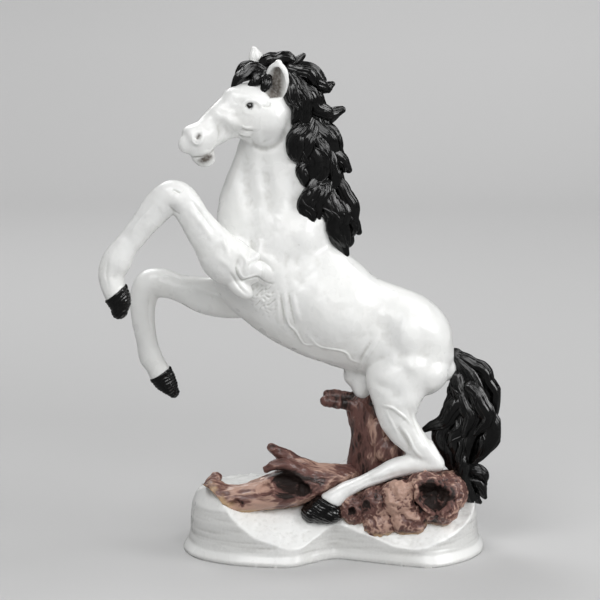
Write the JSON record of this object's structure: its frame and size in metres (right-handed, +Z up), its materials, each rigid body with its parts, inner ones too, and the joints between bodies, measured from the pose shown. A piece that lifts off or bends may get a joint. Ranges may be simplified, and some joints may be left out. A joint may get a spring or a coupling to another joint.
{
  "type": "rearing horse figurine",
  "caption": "Glossy white cast horse rearing over a fallen log and a broken stump, with black mane, tail and hooves, on a wavy snow-white plinth.",
  "frame": {"origin": "centre of the footprint, on the table that the plinth stands on", "axes": "+Z up; the horse faces -X and shows its left side to -Y"},
  "size_m": [0.2383, 0.1008, 0.3025],
  "materials": {
    "white_paint": "gloss",
    "black_paint": "gloss",
    "brown_paint": "satin",
    "eye_enamel": "polished"
  },
  "bodies": {
    "root": {"plinth": "white_paint", "horse": "white_paint", "left_foreleg": "white_paint", "right_foreleg": "white_paint", "left_fore_hoof": "black_paint", "right_fore_hoof": "black_paint", "left_hind_hoof": "black_paint", "right_hind_hoof": "black_paint", "mane": "black_paint", "forelock": "black_paint", "tail": "black_paint", "left_eye": "eye_enamel", "right_eye": "eye_enamel", "tree_stump": "brown_paint", "fallen_log": "brown_paint", "rock_mound": "brown_paint"}
  },
  "joints": []
}
